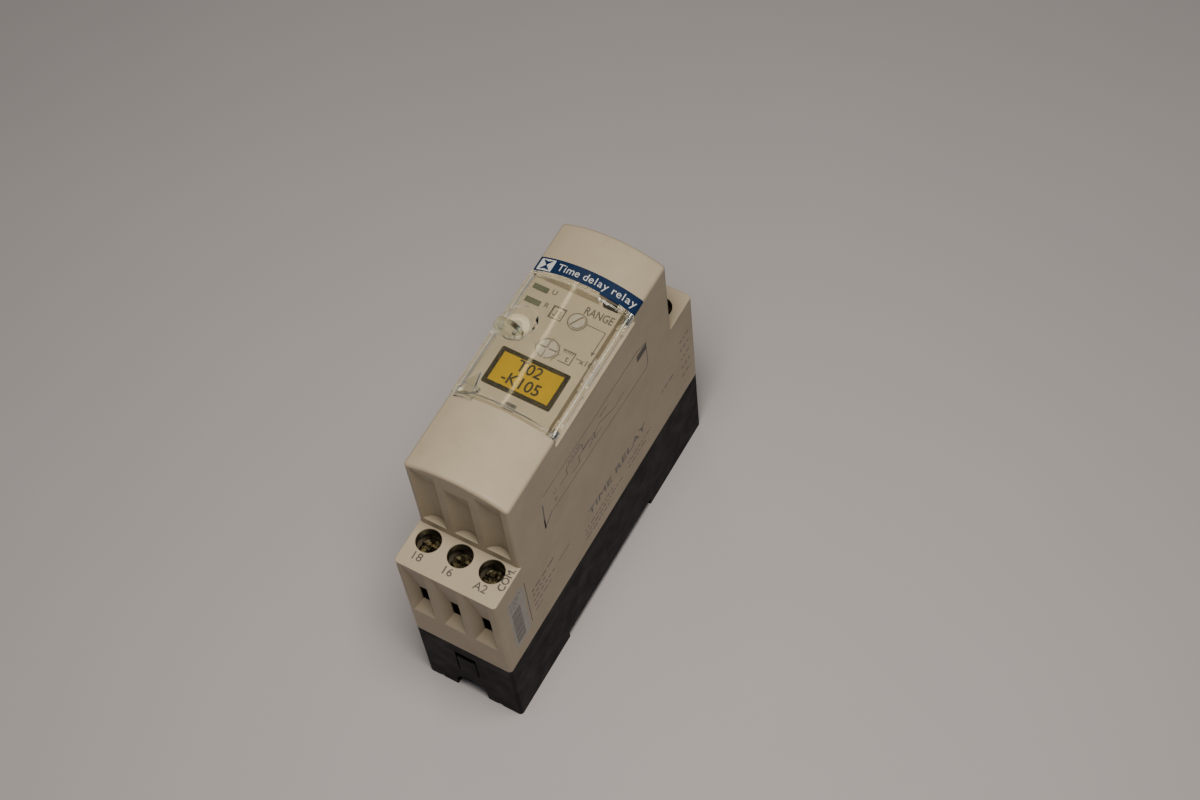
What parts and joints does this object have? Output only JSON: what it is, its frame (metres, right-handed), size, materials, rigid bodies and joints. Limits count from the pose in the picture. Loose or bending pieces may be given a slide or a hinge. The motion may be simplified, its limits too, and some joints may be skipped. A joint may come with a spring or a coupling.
{
  "type": "din rail timer",
  "caption": "Narrow rail-mounted time relay with crowned front, hinged clear cover over two adjusters, cage-clamp screw terminals at both ends and a sprung rail clip.",
  "frame": {"origin": "middle of the back face, which rests on the panel behind the rail", "axes": "+Z out of the rail towards the front, +Y up the wall, +X to the right across the module width"},
  "size_m": [0.0226, 0.078, 0.08],
  "materials": {
    "housing_plastic": "fine spark-eroded texture, warm white",
    "panel_plastic": "smooth satin, warm white",
    "base_plastic": "fine spark-eroded texture, near black",
    "clip_plastic": "satin, near black",
    "strip_print": "printed navy band",
    "label_paper": "yellow laminated label tape with a black border",
    "silver_label": "silver-grey printed film",
    "clear_plastic": "clear moulded polycarbonate",
    "steel": "bright drawn wire",
    "lens": "smoked light pipe",
    "knob_plastic": "satin ivory",
    "component_plastic": "moulded black",
    "board": "green solder mask",
    "led": "clear epoxy",
    "relay_plastic": "moulded blue",
    "bobbin_plastic": "natural nylon",
    "copper": "enamelled copper winding",
    "iron": "plated soft iron",
    "contact_brass": "stamped brass",
    "screw_steel": "yellow-passivated zinc",
    "cage_steel": "zinc plated",
    "can_sleeve": "shrink sleeve",
    "film_box": "yellow film-capacitor box",
    "varistor_coat": "blue epoxy coat",
    "resistor_body": "blue lacquer"
  },
  "bodies": {
    "root": {"front_housing": "housing_plastic", "front_panel": "panel_plastic", "rear_base": "base_plastic", "name_strip": "strip_print", "marker_label": "label_paper", "side_label": "silver_label", "seal_lug": "clear_plastic", "cover_hinge_pins": "steel", "led_lens_supply": "lens", "led_lens_output": "lens", "range_switch_body": "component_plastic", "time_potentiometer_body": "component_plastic", "din_clip_spring": "steel", "main_board": "board", "front_board": "board", "board_pin_header": "component_plastic", "indicator_leds": "led", "relay_base": "component_plastic", "relay_case": "relay_plastic", "relay_bobbin": "bobbin_plastic", "relay_winding": "copper", "relay_core": "iron", "relay_yoke": "iron", "relay_fixed_contacts": "contact_brass", "storage_capacitors": "can_sleeve", "supply_capacitor": "film_box", "varistor": "varistor_coat", "timer_chip": "component_plastic", "bridge_rectifier": "component_plastic", "board_resistors": "resistor_body", "contact_bar_lower_left": "contact_brass", "contact_bar_lower_middle": "contact_brass", "contact_bar_lower_right": "contact_brass", "contact_bar_upper_left": "contact_brass", "contact_bar_upper_middle": "contact_brass", "contact_bar_upper_right": "contact_brass"},
    "cover": {"clear_cover": "clear_plastic"},
    "range_knob": {"range_selector": "knob_plastic"},
    "time_knob": {"time_dial": "knob_plastic"},
    "rail_clip": {"din_clip": "clip_plastic"},
    "armature": {"relay_armature": "iron", "relay_moving_contact": "contact_brass"},
    "lower_left_screw": {"terminal_screw_lower_left": "screw_steel"},
    "lower_left_cage": {"clamp_cage_lower_left": "cage_steel"},
    "lower_middle_screw": {"terminal_screw_lower_middle": "screw_steel"},
    "lower_middle_cage": {"clamp_cage_lower_middle": "cage_steel"},
    "lower_right_screw": {"terminal_screw_lower_right": "screw_steel"},
    "lower_right_cage": {"clamp_cage_lower_right": "cage_steel"},
    "upper_left_screw": {"terminal_screw_upper_left": "screw_steel"},
    "upper_left_cage": {"clamp_cage_upper_left": "cage_steel"},
    "upper_middle_screw": {"terminal_screw_upper_middle": "screw_steel"},
    "upper_middle_cage": {"clamp_cage_upper_middle": "cage_steel"},
    "upper_right_screw": {"terminal_screw_upper_right": "screw_steel"},
    "upper_right_cage": {"clamp_cage_upper_right": "cage_steel"}
  },
  "joints": [
    {"name": "cover_hinge", "type": "hinge", "parent": "root", "child": "cover", "pos_m": [0.0102, 0.0028, 0.07405], "axis": [0, 1, 0], "range_deg": [0, 95]},
    {"name": "range_selector_turn", "type": "hinge", "parent": "root", "child": "range_knob", "pos_m": [0.0021, 0.012, 0.07], "axis": [0, 0, 1], "range_deg": [-150, 150]},
    {"name": "time_dial_turn", "type": "hinge", "parent": "root", "child": "time_knob", "pos_m": [0.00005, 0.0042, 0.07], "axis": [0, 0, 1], "range_deg": [-135, 135]},
    {"name": "din_clip_slide", "type": "slide", "parent": "root", "child": "rail_clip", "axis": [0, -1, 0], "range_m": [0, 0.0025], "stiffness_N_per_m": 600, "springref_m": -0.001, "deforming": ["din_clip_spring"]},
    {"name": "relay_armature_tilt", "type": "hinge", "parent": "root", "child": "armature", "pos_m": [-0.0051, -0.01415, 0.0442], "axis": [0, 1, 0], "range_deg": [0, 3.5], "stiffness_Nm_per_rad": 0.002, "springref_deg": -5.73},
    {"name": "lower_left_cage_lift", "type": "slide", "parent": "root", "child": "lower_left_cage", "axis": [0, 0, 1], "range_m": [0, 0.0025]},
    {"name": "lower_left_screw_turn", "type": "hinge", "parent": "root", "child": "lower_left_screw", "pos_m": [-0.00745, -0.0323, 0.0475], "axis": [0, 0, 1], "range_deg": [-1800, 0]},
    {"name": "lower_middle_cage_lift", "type": "slide", "parent": "root", "child": "lower_middle_cage", "axis": [0, 0, 1], "range_m": [0, 0.0025]},
    {"name": "lower_middle_screw_turn", "type": "hinge", "parent": "root", "child": "lower_middle_screw", "pos_m": [-0.00035, -0.0323, 0.0475], "axis": [0, 0, 1], "range_deg": [-1800, 0]},
    {"name": "lower_right_cage_lift", "type": "slide", "parent": "root", "child": "lower_right_cage", "axis": [0, 0, 1], "range_m": [0, 0.0025]},
    {"name": "lower_right_screw_turn", "type": "hinge", "parent": "root", "child": "lower_right_screw", "pos_m": [0.00675, -0.0323, 0.0475], "axis": [0, 0, 1], "range_deg": [-1800, 0]},
    {"name": "upper_left_cage_lift", "type": "slide", "parent": "root", "child": "upper_left_cage", "axis": [0, 0, 1], "range_m": [0, 0.0025]},
    {"name": "upper_left_screw_turn", "type": "hinge", "parent": "root", "child": "upper_left_screw", "pos_m": [-0.00745, 0.0337, 0.0475], "axis": [0, 0, 1], "range_deg": [-1800, 0]},
    {"name": "upper_middle_cage_lift", "type": "slide", "parent": "root", "child": "upper_middle_cage", "axis": [0, 0, 1], "range_m": [0, 0.0025]},
    {"name": "upper_middle_screw_turn", "type": "hinge", "parent": "root", "child": "upper_middle_screw", "pos_m": [-0.00035, 0.0337, 0.0475], "axis": [0, 0, 1], "range_deg": [-1800, 0]},
    {"name": "upper_right_cage_lift", "type": "slide", "parent": "root", "child": "upper_right_cage", "axis": [0, 0, 1], "range_m": [0, 0.0025]},
    {"name": "upper_right_screw_turn", "type": "hinge", "parent": "root", "child": "upper_right_screw", "pos_m": [0.00675, 0.0337, 0.0475], "axis": [0, 0, 1], "range_deg": [-1800, 0]}
  ],
  "couplings": [
    {"joint": "lower_left_screw_turn", "follows": "lower_left_cage_lift", "rad_per_m": -12566},
    {"joint": "lower_middle_screw_turn", "follows": "lower_middle_cage_lift", "rad_per_m": -12566},
    {"joint": "lower_right_screw_turn", "follows": "lower_right_cage_lift", "rad_per_m": -12566},
    {"joint": "upper_left_screw_turn", "follows": "upper_left_cage_lift", "rad_per_m": -12566},
    {"joint": "upper_middle_screw_turn", "follows": "upper_middle_cage_lift", "rad_per_m": -12566},
    {"joint": "upper_right_screw_turn", "follows": "upper_right_cage_lift", "rad_per_m": -12566}
  ]
}
